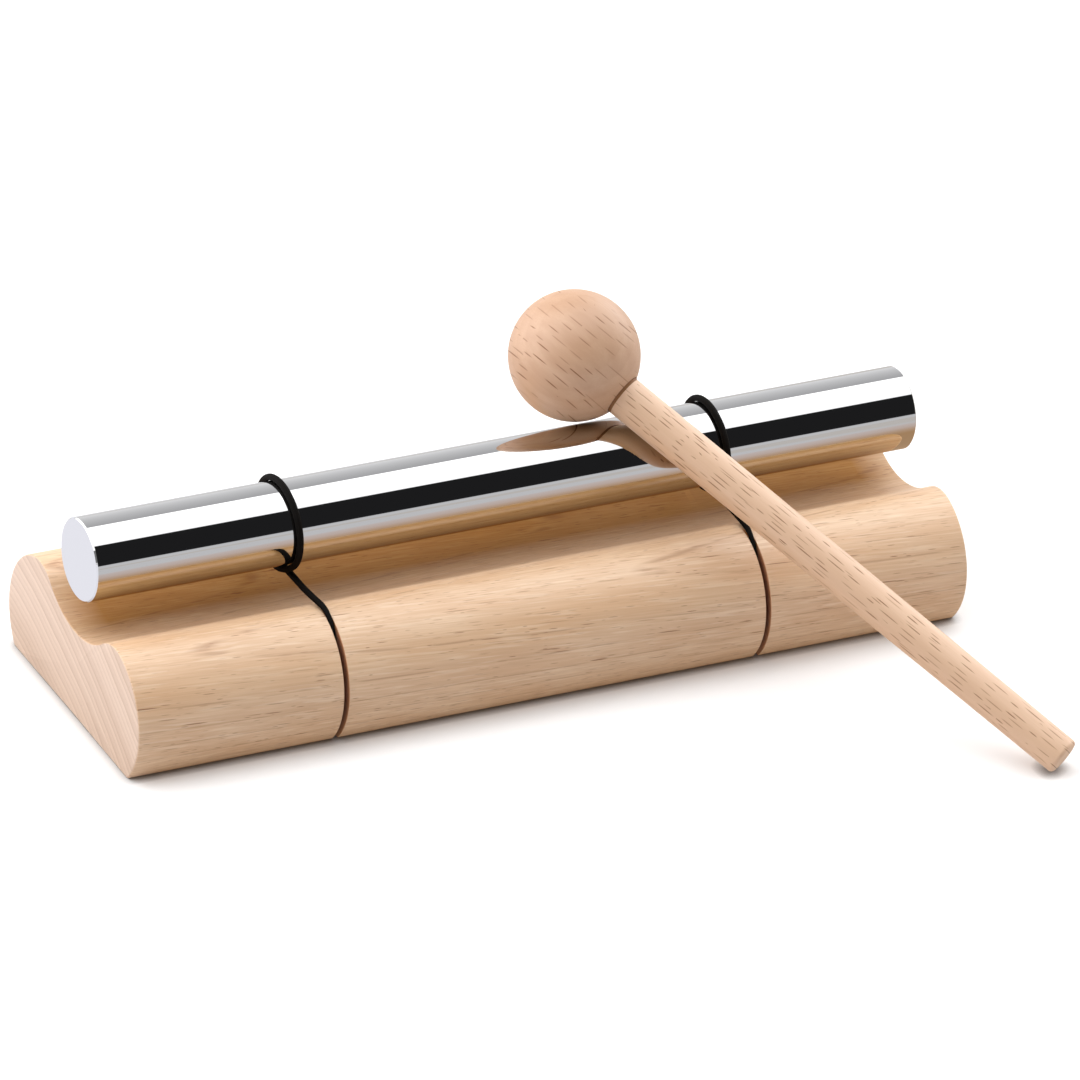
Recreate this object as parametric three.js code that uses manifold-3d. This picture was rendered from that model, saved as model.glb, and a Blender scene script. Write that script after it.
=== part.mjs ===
// Chime bar: a polished rod slung in two elastic loops over a grooved wooden base, with its mallet.
// Millimetres, +Z up. The origin is the centre of the base's underside, and +X runs along the rod.

import * as THREE from 'three';
import { mergeVertices } from 'three/addons/utils/BufferGeometryUtils.js';
import Module from 'manifold-3d';

const wasm = await Module();
wasm.setup();

// Driving sizes

const rod = {
  diameter: 16,
  length: 171,
  endChamfer: 0.4,
  offMiddle: -1.2, // where it lies in the photo, with the loops' turns drawn along
};

const base = {
  length: 173,
  width: 57.6,
  edgeRadius: 14, // the rounded long sides
  edgeHeight: 9.35, // height of the widest line
  grooveRadius: 18.5,
  grooveFloor: 17.1, // height of the groove's lowest line
  crestRadius: 8, // the two ridges beside the groove
  endChamfer: 0.4,
};

const kerf = {
  width: 1.1,
  fromMiddle: 44,
  crestDepth: 0.1, // hardly cuts the ridges, so that the loop stands proud there
  dropInset: 0.45, // the floor begins to drop this far inside each ridge's top
  sideDepth: 2.8,
  undersideDepth: 2.8,
  floorRadius: 5, // the floor's rounds, beside each ridge and near the underside
  overrun: 5,
};

const loop = {
  ringDiameter: 1.3, // where it is wound round the rod
  ridgeDiameter: 1.2, // where it comes over the ridges
  turnGap: 1.2, // between the two strands that pass side by side below the rod
  strandsOff: -1.7, // where they pass, seen from the kerf
  ringOff: -1.35, // where the turn begins to climb the rod, seen from the kerf
  topLean: -0.85, // how far the turn leans along the rod at its top
  frontLean: 0.2, // and in front, and the other way behind
  swerveShare: 1 / 6, // the part of the turn in which it swerves into each strand
  kerfClearance: 0.15, // on each side, where it is squeezed into the kerf
  seatGap: 0.2,
};

const mallet = {
  ballDiameter: 25,
  length: 132, // over the ball and the handle
  neckDiameter: 8,
  tipDiameter: 7.3,
  tipRound: 0.8,
  boreDepth: 16,
  glueGap: 0.1,
  headFromMiddle: 18.6, // where the ball leans on the rod
  restGap: 0.3, // to the rod, for the ball and the handle
  floorGap: 0.1,
};
const malletTurn = THREE.MathUtils.degToRad(56.4); // seen from above, from +X towards the front

// How finely curves are cut

const outlineSteps = 10;
const roundSides = 72;
const ballRings = 28;
const loopSides = 8;
const turnSteps = 40;
const cornerSteps = 10;
const strandSteps = 8;
const tipSteps = 4;

// Materials

const oak = new THREE.MeshStandardMaterial({ color: 0xd9b48a, roughness: 0.6, metalness: 0 });
const beech = new THREE.MeshStandardMaterial({ color: 0xdcb592, roughness: 0.6, metalness: 0 });
const polished = new THREE.MeshStandardMaterial({ color: 0xe4e4e8, roughness: 0.05, metalness: 1 });
const elastic = new THREE.MeshStandardMaterial({ color: 0x151517, roughness: 0.8, metalness: 0 });

// Shared helpers

const quarter = Math.PI / 2;

// Turns a shape's x, y and its extrusion into the part's Y, Z and X
function layAlongX(geometry) {
  const alongX = new THREE.Matrix4().makeBasis(
    new THREE.Vector3(0, 1, 0),
    new THREE.Vector3(0, 0, 1),
    new THREE.Vector3(1, 0, 0),
  );
  return geometry.applyMatrix4(alongX);
}

// Extrudes a shape by a length centred on X = 0
function prism(shape, length, chamfer = 0) {
  const geometry = new THREE.ExtrudeGeometry(shape, {
    depth: length - 2 * chamfer,
    curveSegments: outlineSteps,
    bevelEnabled: chamfer > 0,
    bevelSegments: 1,
    bevelSize: chamfer,
    bevelThickness: chamfer,
    bevelOffset: -chamfer,
  });
  return layAlongX(geometry.translate(0, 0, chamfer - length / 2));
}

function toSolid(geometry) {
  const bare = geometry.clone();
  bare.deleteAttribute('normal');
  bare.deleteAttribute('uv');
  const welded = mergeVertices(bare);
  const mesh = new wasm.Mesh({
    numProp: 3,
    vertProperties: Float32Array.from(welded.attributes.position.array),
    triVerts: Uint32Array.from(welded.index.array),
  });
  return new wasm.Manifold(mesh);
}

function fromSolid(solid) {
  const mesh = solid.getMesh();
  const geometry = new THREE.BufferGeometry();
  geometry.setAttribute('position', new THREE.BufferAttribute(mesh.vertProperties, 3));
  geometry.setIndex(new THREE.BufferAttribute(mesh.triVerts, 1));
  geometry.computeVertexNormals();
  return geometry;
}

function namedMesh(name, geometry, material) {
  const mesh = new THREE.Mesh(geometry, material);
  mesh.name = name;
  return mesh;
}

// The base's section, worked out from circles that touch

const side = new THREE.Vector2(base.width / 2 - base.edgeRadius, base.edgeHeight);
const groove = new THREE.Vector2(0, base.grooveFloor + base.grooveRadius);
const { crest, shoulder } = placeCrest();
const crestHeight = crest.y + base.crestRadius;

// Where the ridge's circle lies, and the angle at which it meets the rounded side. On a wide base it
// touches the flat top, and on this narrow one it touches the round itself.
function placeCrest() {
  const inset = base.edgeRadius - base.crestRadius;
  const reach = base.grooveRadius + base.crestRadius;
  const rise = groove.y - side.y - inset;
  const flatY = Math.sqrt(reach ** 2 - rise ** 2);
  if (flatY <= side.x) {
    return { crest: new THREE.Vector2(flatY, side.y + inset), shoulder: quarter };
  }
  const touching = touchingCentre(side, inset, groove, reach);
  return { crest: touching, shoulder: angleFrom(side, touching) };
}

// The outer one of the two points at these distances from two centres
function touchingCentre(first, firstDistance, second, secondDistance) {
  const apart = second.clone().sub(first);
  const span = apart.length();
  const along = (firstDistance ** 2 - secondDistance ** 2 + span ** 2) / (2 * span);
  const off = Math.sqrt(firstDistance ** 2 - along ** 2);
  const step = apart.normalize();
  return new THREE.Vector2(
    first.x + along * step.x + off * step.y,
    first.y + along * step.y - off * step.x,
  );
}

function angleFrom(centre, point) {
  return Math.atan2(point.y - centre.y, point.x - centre.x);
}

function baseOutline() {
  const footHalf = side.x + Math.sqrt(base.edgeRadius ** 2 - base.edgeHeight ** 2);
  const foot = angleFrom(side, new THREE.Vector2(footHalf, 0));
  const brink = angleFrom(crest, groove);
  const bank = angleFrom(groove, crest);
  const shape = new THREE.Shape();
  shape.moveTo(footHalf, 0);
  shape.absarc(side.x, side.y, base.edgeRadius, foot, shoulder, false);
  shape.absarc(crest.x, crest.y, base.crestRadius, shoulder, brink, false);
  shape.absarc(groove.x, groove.y, base.grooveRadius, bank, -Math.PI - bank, true);
  shape.absarc(-crest.x, crest.y, base.crestRadius, Math.PI - brink, Math.PI - shoulder, false);
  shape.absarc(-side.x, side.y, base.edgeRadius, Math.PI - shoulder, Math.PI - foot, false);
  shape.closePath();
  return shape;
}

// The kerf's floor: what the loop lies on, as a rounded outline inside the base's section

const floorTop = crestHeight - kerf.crestDepth;
const floorShoulder = new THREE.Vector2(crest.x - kerf.dropInset, floorTop - kerf.floorRadius);
const floorHeel = new THREE.Vector2(
  base.width / 2 - kerf.sideDepth - kerf.floorRadius,
  kerf.undersideDepth + kerf.floorRadius,
);
const floorBank = angleFrom(floorHeel, floorShoulder) - quarter; // which way its straight side faces

function kerfFloorOutline() {
  const round = kerf.floorRadius;
  const mirrored = Math.PI - floorBank;
  const shape = new THREE.Shape();
  shape.moveTo(floorHeel.x, kerf.undersideDepth);
  shape.absarc(floorHeel.x, floorHeel.y, round, -quarter, floorBank, false);
  shape.absarc(floorShoulder.x, floorShoulder.y, round, floorBank, quarter, false);
  shape.absarc(-floorShoulder.x, floorShoulder.y, round, quarter, mirrored, false);
  shape.absarc(-floorHeel.x, floorHeel.y, round, mirrored, Math.PI + quarter, false);
  shape.closePath();
  return shape;
}

// Base block: the blank with its groove, less a ring-shaped cut at each kerf
function buildBase() {
  let block = toSolid(prism(baseOutline(), base.length, base.endChamfer));
  const slabSpan = base.width + 2 * kerf.overrun;
  const slab = new THREE.BoxGeometry(kerf.width, slabSpan, slabSpan);
  slab.translate(0, 0, crestHeight / 2);
  const floor = prism(kerfFloorOutline(), kerf.width + 2 * kerf.overrun);
  const cut = toSolid(slab).subtract(toSolid(floor));
  for (const end of [-1, 1]) {
    block = block.subtract(cut.translate([end * kerf.fromMiddle, 0, 0]));
  }
  return namedMesh('base_block', fromSolid(block), oak);
}

// Where the loops carry the rod: they cross the groove level, just above the kerf's floor

const ringRadius = loop.ringDiameter / 2;
const ridgeRadius = loop.ridgeDiameter / 2;
const kerfRadius = kerf.width / 2 - loop.kerfClearance;
const pitch = loop.ringDiameter + loop.turnGap; // between the two strands below the rod, along X
const strandZ = floorTop + ridgeRadius + loop.seatGap;
const turnRadius = rod.diameter / 2 + loop.seatGap + ringRadius;
const rodZ = strandZ + turnRadius;

// Rod: a turned bar with a chamfer at each end
function buildRod() {
  const radius = rod.diameter / 2;
  const half = rod.length / 2;
  const profile = [
    new THREE.Vector2(0, -half),
    new THREE.Vector2(radius - rod.endChamfer, -half),
    new THREE.Vector2(radius, -half + rod.endChamfer),
    new THREE.Vector2(radius, half - rod.endChamfer),
    new THREE.Vector2(radius - rod.endChamfer, half),
    new THREE.Vector2(0, half),
  ];
  const mesh = namedMesh('chime_rod', new THREE.LatheGeometry(profile, roundSides), polished);
  mesh.rotation.z = -quarter;
  mesh.position.set(rod.offMiddle, 0, rodZ);
  return mesh;
}

// Elastic loop: one closed cord, once round the rod and then round the base in its kerf. Each stop on
// its way has a centre and a radius: the cord is thinner where it is stretched or squeezed.
function loopStops() {
  const stops = [];
  const add = (x, y, z, radius) => stops.push({ at: new THREE.Vector3(x, y, z), radius });
  const blend = THREE.MathUtils.lerp;
  const smooth = THREE.MathUtils.smoothstep;
  const first = loop.strandsOff - pitch / 2;
  const last = loop.strandsOff + pitch / 2;

  // One leaning turn round the rod, from below it towards the front, that swerves at both ends so
  // that the strands pass side by side
  for (let step = 0; step < turnSteps; step += 1) {
    const share = step / turnSteps;
    const angle = share * 2 * Math.PI;
    const lean = (loop.topLean * (1 - Math.cos(angle))) / 2 + loop.frontLean * Math.sin(angle);
    const leaving = (first - loop.ringOff) * (1 - smooth(share, 0, loop.swerveShare));
    const arriving = (last - loop.ringOff) * smooth(share, 1 - loop.swerveShare, 1);
    const y = -turnRadius * Math.sin(angle);
    const z = rodZ - turnRadius * Math.cos(angle);
    add(loop.ringOff + lean + leaving + arriving, y, z, ringRadius);
  }
  // A level strand from below the rod to the front ridge, which the back one mirrors
  for (let step = 0; step < strandSteps; step += 1) {
    const share = step / strandSteps;
    const eased = smooth(share, 0, 1);
    const y = -floorShoulder.x * share;
    add(blend(last, 0, eased), y, strandZ, blend(ringRadius, ridgeRadius, eased));
  }
  // Round the base on the kerf's floor, front shoulder, front heel, back heel and back shoulder
  const down = Math.PI + quarter;
  const [frontBank, backBank] = [Math.PI - floorBank, 2 * Math.PI + floorBank];
  const corners = [
    { side: -1, at: floorShoulder, start: quarter, end: frontBank, from: ridgeRadius, to: kerfRadius },
    { side: -1, at: floorHeel, start: frontBank, end: down, from: kerfRadius, to: kerfRadius },
    { side: 1, at: floorHeel, start: down, end: backBank, from: kerfRadius, to: kerfRadius },
    { side: 1, at: floorShoulder, start: backBank, end: down + Math.PI, from: kerfRadius, to: ridgeRadius },
  ];
  for (const corner of corners) {
    for (let step = 0; step <= cornerSteps; step += 1) {
      const share = step / cornerSteps;
      const angle = blend(corner.start, corner.end, share);
      const sunk = corner.side < 0 ? Math.sin(quarter * share) : 1 - Math.cos(quarter * share);
      const radius = blend(corner.from, corner.to, sunk);
      const reach = kerf.floorRadius + loop.seatGap + radius;
      const y = corner.side * corner.at.x + reach * Math.cos(angle);
      add(0, y, corner.at.y + reach * Math.sin(angle), radius);
    }
  }
  for (let step = 1; step < strandSteps; step += 1) {
    const share = step / strandSteps;
    const eased = smooth(share, 0, 1);
    const y = floorShoulder.x * (1 - share);
    add(blend(0, first, eased), y, strandZ, blend(ridgeRadius, ringRadius, eased));
  }
  return stops;
}

// A closed tube through the stops, with its seam sides kept level by the X axis
function tubeThrough(stops) {
  const count = stops.length;
  const across = new THREE.Vector3(1, 0, 0);
  const positions = [];
  const indices = [];
  for (let i = 0; i < count; i += 1) {
    const { at, radius } = stops[i];
    const before = stops[(i + count - 1) % count].at;
    const after = stops[(i + 1) % count].at;
    const along = after.clone().sub(before).normalize();
    const sideways = across.clone().addScaledVector(along, -across.dot(along)).normalize();
    const outward = new THREE.Vector3().crossVectors(along, sideways);
    for (let j = 0; j < loopSides; j += 1) {
      const angle = (2 * Math.PI * j) / loopSides;
      const point = at.clone();
      point.addScaledVector(sideways, radius * Math.cos(angle));
      point.addScaledVector(outward, radius * Math.sin(angle));
      positions.push(point.x, point.y, point.z);
      const here = i * loopSides;
      const next = ((i + 1) % count) * loopSides;
      const beside = (j + 1) % loopSides;
      indices.push(here + j, next + beside, next + j);
      indices.push(here + j, here + beside, next + beside);
    }
  }
  const geometry = new THREE.BufferGeometry();
  geometry.setAttribute('position', new THREE.Float32BufferAttribute(positions, 3));
  geometry.setIndex(indices);
  geometry.computeVertexNormals();
  return geometry;
}

// The least gap between stretches of the loop that aren't neighbours along it
function leastSelfGap(stops) {
  const count = stops.length;
  const travelled = [0];
  for (let i = 0; i < count; i += 1) {
    travelled.push(travelled[i] + stops[i].at.distanceTo(stops[(i + 1) % count].at));
  }
  const whole = travelled[count];
  let least = Infinity;
  for (let i = 0; i < count; i += 1) {
    for (let j = i + 1; j < count; j += 1) {
      const way = travelled[j] - travelled[i];
      if (Math.min(way, whole - way) > 2 * pitch) {
        const gap = stops[i].at.distanceTo(stops[j].at) - stops[i].radius - stops[j].radius;
        least = Math.min(least, gap);
      }
    }
  }
  return least;
}

function buildLoop(name, end) {
  const stops = loopStops();
  console.log(name, 'least gap to itself', leastSelfGap(stops).toFixed(2), 'mm');
  const mesh = namedMesh(name, tubeThrough(stops), elastic);
  mesh.position.x = end * kerf.fromMiddle;
  return mesh;
}

// Mallet: its axis is local +Y, from the ball's centre towards the tip

const ballRadius = mallet.ballDiameter / 2;
const tipDistance = mallet.length - ballRadius;
const boreRadius = mallet.neckDiameter / 2 + mallet.glueGap;
const mouth = Math.sqrt(ballRadius ** 2 - boreRadius ** 2);
const boreFloor = mouth - mallet.boreDepth;

// The handle's radius at a distance from the ball's centre
function handleRadius(distance) {
  const share = THREE.MathUtils.clamp((distance - mouth) / (tipDistance - mouth), 0, 1);
  return THREE.MathUtils.lerp(mallet.neckDiameter, mallet.tipDiameter, share) / 2;
}

function buildHead() {
  const profile = [new THREE.Vector2(0, boreFloor), new THREE.Vector2(boreRadius, boreFloor)];
  const first = Math.atan2(boreRadius, mouth);
  for (let step = 0; step <= ballRings; step += 1) {
    const angle = first + ((Math.PI - first) * step) / ballRings;
    const radius = step < ballRings ? ballRadius * Math.sin(angle) : 0;
    profile.push(new THREE.Vector2(radius, ballRadius * Math.cos(angle)));
  }
  profile.reverse();
  return namedMesh('mallet_head', new THREE.LatheGeometry(profile, roundSides), beech);
}

function buildHandle() {
  const start = boreFloor + mallet.glueGap;
  const tip = mallet.tipDiameter / 2;
  const profile = [
    new THREE.Vector2(0, start),
    new THREE.Vector2(handleRadius(start), start),
    new THREE.Vector2(handleRadius(mouth), mouth),
  ];
  for (let step = 0; step <= tipSteps; step += 1) {
    const angle = (quarter * step) / tipSteps;
    const radius = tip - mallet.tipRound * (1 - Math.cos(angle));
    const distance = tipDistance - mallet.tipRound * (1 - Math.sin(angle));
    profile.push(new THREE.Vector2(radius, distance));
  }
  profile.push(new THREE.Vector2(0, tipDistance));
  return namedMesh('mallet_handle', new THREE.LatheGeometry(profile, roundSides / 2), beech);
}

// How the mallet rests: the ball leans on the rod from behind, the handle crosses over the rod, and
// the tip stands on the floor. The ball's angle behind the rod's top is found by halving.
function restingMallet(angle) {
  const reach = rod.diameter / 2 + ballRadius + mallet.restGap;
  const ball = new THREE.Vector3(
    mallet.headFromMiddle,
    reach * Math.sin(angle),
    rodZ + reach * Math.cos(angle),
  );
  const tip = mallet.tipDiameter / 2 - mallet.tipRound;
  const heel = tipDistance - mallet.tipRound;
  const drop = ball.z - mallet.floorGap - mallet.tipRound;
  const tilt = Math.asin(drop / Math.hypot(heel, tip)) - Math.atan2(tip, heel);
  const along = new THREE.Vector3(
    Math.cos(tilt) * Math.cos(malletTurn),
    -Math.cos(tilt) * Math.sin(malletTurn),
    -Math.sin(tilt),
  );
  // Seen along the rod, the handle passes the rod's axis at this distance and at this place
  const seen = Math.hypot(along.y, along.z);
  const passing = Math.abs(ball.y * along.z - (ball.z - rodZ) * along.y) / seen;
  const place = -(ball.y * along.y + (ball.z - rodZ) * along.z) / seen ** 2;
  const clearance = passing - rod.diameter / 2 - handleRadius(place);
  return { ball, along, tilt, clearance };
}

function findRest() {
  let low = 0;
  let high = quarter;
  const halvings = 40;
  for (let i = 0; i < halvings; i += 1) {
    const middle = (low + high) / 2;
    if (restingMallet(middle).clearance > mallet.restGap) {
      low = middle;
    } else {
      high = middle;
    }
  }
  return low;
}

function buildMallet() {
  const angle = findRest();
  const rest = restingMallet(angle);
  const group = new THREE.Group();
  group.add(buildHead(), buildHandle());
  group.quaternion.setFromUnitVectors(new THREE.Vector3(0, 1, 0), rest.along);
  group.position.copy(rest.ball);
  const degrees = THREE.MathUtils.radToDeg;
  console.log(
    'mallet: ball', degrees(angle).toFixed(1), 'degrees behind the rod top, handle tilted',
    degrees(rest.tilt).toFixed(1), 'degrees, ball centre', rest.ball.toArray().map((v) => v.toFixed(2)),
  );
  return group;
}

// The whole part

const chimeBar = new THREE.Group();
chimeBar.add(
  buildBase(),
  buildRod(),
  buildLoop('elastic_loop_left', -1),
  buildLoop('elastic_loop_right', 1),
  buildMallet(),
);
console.log('ridge height', crestHeight.toFixed(2), 'rod axis height', rodZ.toFixed(2));

export default chimeBar;
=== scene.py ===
# Chime bar: a polished rod slung in two elastic loops over a grooved oak base, with its beech mallet.
# Metres, +Z up. The origin is the centre of the base's underside, and +X runs along the rod.

import math

import bpy
import numpy as np
from mathutils import Matrix, Vector


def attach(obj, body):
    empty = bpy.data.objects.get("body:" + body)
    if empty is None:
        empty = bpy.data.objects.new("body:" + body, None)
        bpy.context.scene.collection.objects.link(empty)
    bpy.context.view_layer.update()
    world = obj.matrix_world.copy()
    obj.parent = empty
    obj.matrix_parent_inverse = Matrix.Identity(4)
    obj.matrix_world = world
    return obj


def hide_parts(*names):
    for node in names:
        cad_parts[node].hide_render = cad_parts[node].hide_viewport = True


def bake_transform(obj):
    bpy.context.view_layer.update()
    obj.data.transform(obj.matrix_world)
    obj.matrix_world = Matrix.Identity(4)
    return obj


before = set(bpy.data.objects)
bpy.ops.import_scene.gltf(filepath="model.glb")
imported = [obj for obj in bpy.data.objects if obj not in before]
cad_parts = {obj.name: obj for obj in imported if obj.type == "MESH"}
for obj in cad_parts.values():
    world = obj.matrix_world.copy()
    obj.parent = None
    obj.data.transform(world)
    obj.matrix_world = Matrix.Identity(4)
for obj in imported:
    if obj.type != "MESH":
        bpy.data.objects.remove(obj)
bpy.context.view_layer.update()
mm = 0.001


# The view: a long lens to the left of the bar and above it, looking down along its front. The camera
# is turned a little on its own axis, so that the bar climbs to the right in the picture.

view_azimuth = math.radians(-29.045)
view_elevation = math.radians(30.407)
view_roll = math.radians(4.979)
view_distance = 2.3313
aim_point = Vector((9.64 * mm, 0, 17.93 * mm))
lens_length = 413.63
sensor_width = 36


def camera_axes(azimuth, elevation, roll):
    """Right, up and forward: forward looks down from azimuth and elevation, and the other two are
    turned by the roll about it."""
    level = Vector((math.cos(azimuth), math.sin(azimuth), 0))
    forward = Vector((
        -math.sin(azimuth) * math.cos(elevation),
        math.cos(azimuth) * math.cos(elevation),
        -math.sin(elevation),
    ))
    upright = level.cross(forward)
    right = math.cos(roll) * level + math.sin(roll) * upright
    up = math.cos(roll) * upright - math.sin(roll) * level
    return right, up, forward


def add_object(name, data):
    """A new object in the scene over this data."""
    made = bpy.data.objects.new(name, data)
    bpy.context.scene.collection.objects.link(made)
    return made


lens = bpy.data.cameras.new("camera")
lens.lens = lens_length
lens.sensor_width = sensor_width
camera = add_object("camera", lens)
right, up, forward = camera_axes(view_azimuth, view_elevation, view_roll)
turn = Matrix((right, up, -forward)).transposed().to_4x4()
camera.matrix_world = Matrix.Translation(aim_point - view_distance * forward) @ turn
bpy.context.scene.camera = camera
bpy.context.scene.view_settings.view_transform = "Standard"


# The studio: one long softbox overhead, brightest towards the back, a dark front and a light grey rear
# wall, which the polished rod shows as bands. A white screen stands at each end of the bar, brighter
# in its rear half. The camera itself sees plain white wherever it looks past the table. Edges are in
# degrees from the zenith, positive towards the front.

softbox_light = 2.95
softbox_rear_edge = -29.5
softbox_front_edge = 29.0
softbox_shares = [
    (softbox_rear_edge, 0.80), (-15.0, 1.00), (0.0, 0.78), (12.0, 0.58), (softbox_front_edge, 0.58),
]
front_tone = (0.017, 0.017, 0.018)
low_front_tone = (0.76, 0.76, 0.775)
front_low_edge = 84.0
rear_near_tone = (0.55, 0.55, 0.56)
rear_far_tone = (0.98, 0.98, 0.99)
rear_low_edge = -88.0
left_screen_rear = 2.15
left_screen_front = 0.22
left_screen_shares = (-0.15, -0.40)
right_screen_rear = 2.2
right_screen_front = 0.45
right_screen_shares = (0.55, 0.70)
screen_low_edge = 88.0
edge_blur = 0.5


def place(tree, kind, inputs=None, **settings):
    """Adds a shader node of this kind, sets it up, and sets each input to a value or links it."""
    made = tree.nodes.new(f"ShaderNode{kind}")
    for name, value in settings.items():
        setattr(made, name, value)
    for name, value in (inputs or {}).items():
        if isinstance(value, bpy.types.NodeSocket):
            tree.links.new(value, made.inputs[name])
        else:
            made.inputs[name].default_value = value
    return made


def work_out(tree, operation, *values):
    """The result of one Math node on numbers or sockets."""
    return place(tree, "Math", dict(enumerate(values)), operation=operation).outputs[0]


def times(tree, first, second):
    """The product of two numbers or sockets."""
    return work_out(tree, "MULTIPLY", first, second)


def graded(tree, value, start, end, low=0.0, high=1.0):
    """Low up to where the value is at the start, high from the end on, and evenly between."""
    return place(tree, "MapRange", {
        "Value": value, "From Min": start, "From Max": end, "To Min": low, "To Max": high,
    }).outputs[0]


def split(tree, vector):
    """The X, Y and Z of a vector."""
    return place(tree, "SeparateXYZ", {"Vector": vector}).outputs


def colour_stops(tree, factor, stops):
    """A colour ramp over (position, colour) stops, read at the factor."""
    ramp = place(tree, "ValToRGB", {"Fac": factor})
    elements = ramp.color_ramp.elements
    while len(elements) > 1:
        elements.remove(elements[-1])
    elements[0].position = stops[0][0]
    elements[0].color = (*stops[0][1], 1)
    for position, colour in stops[1:]:
        elements.new(position).color = (*colour, 1)
    return ramp.outputs["Color"]


def build_studio():
    """Light by direction: the angle from the zenith towards the front, in the Y-Z plane, picks the
    softbox, the dark front, the low front or the rear wall. The share of a direction that points
    left or right brings in the screen there, beside the softbox."""
    world = bpy.data.worlds.new("studio")
    world.use_nodes = True
    tree = world.node_tree
    tree.nodes.clear()
    parts = split(tree, place(tree, "TexCoord").outputs["Generated"])
    to_front = times(tree, parts["Y"], -1.0)
    from_zenith = work_out(tree, "ARCTAN2", to_front, parts["Z"])
    turn_share = work_out(tree, "MULTIPLY_ADD", from_zenith, 0.5 / math.pi, 0.5)

    def tones(*stops):
        """A ramp over (degrees, tone) stops, where one number is a grey."""
        return colour_stops(tree, turn_share, [
            (degrees / 360 + 0.5, tone if isinstance(tone, tuple) else (tone, tone, tone))
            for degrees, tone in stops
        ])

    def glow(colour, strength):
        """Light of this colour and strength."""
        return place(tree, "Background", {"Color": colour, "Strength": strength}).outputs[0]

    def screen(rear, front, shares):
        """Rear light behind the softbox and front light before it, brighter sideways."""
        brightest = max(rear, front)
        tone = tones(
            (-screen_low_edge - edge_blur, 0.0),
            (-screen_low_edge, rear / brightest),
            (softbox_rear_edge, rear / brightest),
            (softbox_rear_edge + edge_blur, 0.0),
            (softbox_front_edge, 0.0),
            (softbox_front_edge + edge_blur, front / brightest),
            (screen_low_edge, front / brightest),
            (screen_low_edge + edge_blur, 0.0),
        )
        return glow(tone, graded(tree, parts["X"], *shares, 0.0, brightest))

    walls = tones(
        (rear_low_edge, rear_far_tone),
        (softbox_rear_edge - edge_blur, rear_near_tone),
        (softbox_rear_edge, 0.0),
        (softbox_front_edge, 0.0),
        (softbox_front_edge + edge_blur, front_tone),
        (front_low_edge - edge_blur, front_tone),
        (front_low_edge, low_front_tone),
    )
    softbox = tones(
        (softbox_rear_edge - edge_blur, 0.0), *softbox_shares, (softbox_front_edge + edge_blur, 0.0),
    )
    light = glow(walls, 1.0)
    for part in (
        glow(softbox, softbox_light),
        screen(left_screen_rear, left_screen_front, left_screen_shares),
        screen(right_screen_rear, right_screen_front, right_screen_shares),
    ):
        light = place(tree, "AddShader", {0: light, 1: part}).outputs[0]
    paper = glow((1, 1, 1, 1), 1.0)
    seen = place(tree, "LightPath").outputs["Is Camera Ray"]
    shown = place(tree, "MixShader", {0: seen, 1: light, 2: paper}).outputs[0]
    place(tree, "OutputWorld", {"Surface": shown})
    bpy.context.scene.world = world


build_studio()


# The table: a sheet of white paper under the bar that runs far beyond the picture and keeps its
# shadow, with a painted contact shadow close beside the bar. It throws a little less light on the wood
# than it shows the camera. Polished metal sees a painted reflection of it: grey in front and at the two
# ends, and brown beside the base, painted there for the base's bounce light and shade.

table_reach = 4.0
table_drop = 0.1 * mm
table_colour = (0.93, 0.93, 0.935)
table_bounce = (0.76, 0.765, 0.785)
# Painted contact shadow on the paper, darker where nearby things cover it.
table_painted_shadow_reach = 2.0 * mm
table_painted_shadow_share = 0.38
table_painted_shadow_samples = 8
# Painted reflection: what polished metal sees of the table, grey away from the base and brown beside it
# for the base's bounce light and shade.
table_painted_reflection_strength = 1.45
table_left_painted_reflection = (0.80, 0.80, 0.86)
table_left_fade = (-80 * mm, -100 * mm)
table_right_painted_reflection = (0.50, 0.475, 0.45)
table_right_fade = (130 * mm, 170 * mm)
table_front_painted_reflections = [
    (-130 * mm, (0.52, 0.52, 0.53)),
    (-113 * mm, (0.53, 0.47, 0.45)),
    (-73 * mm, (0.50, 0.40, 0.35)),
    (-53 * mm, (0.44, 0.30, 0.20)),
    (-39 * mm, (0.38, 0.23, 0.12)),
    (30 * mm, (0.38, 0.25, 0.15)),
    (60 * mm, (0.60, 0.60, 0.61)),
]


def mixed(tree, factor, first, second, blend="MIX"):
    """Two colours mixed by a factor, in a plain way or by another blend."""
    node = place(tree, "Mix", data_type="RGBA", blend_type=blend)
    for socket, value in ((node.inputs[0], factor), (node.inputs[6], first), (node.inputs[7], second)):
        if isinstance(value, bpy.types.NodeSocket):
            tree.links.new(value, socket)
        elif isinstance(value, tuple):
            socket.default_value = (*value, 1)
        else:
            socket.default_value = value
    return node.outputs[2]


def new_material(name):
    """A material with an empty node tree, and that tree."""
    made = bpy.data.materials.new(name)
    made.use_nodes = True
    made.node_tree.nodes.clear()
    return made, made.node_tree


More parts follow.
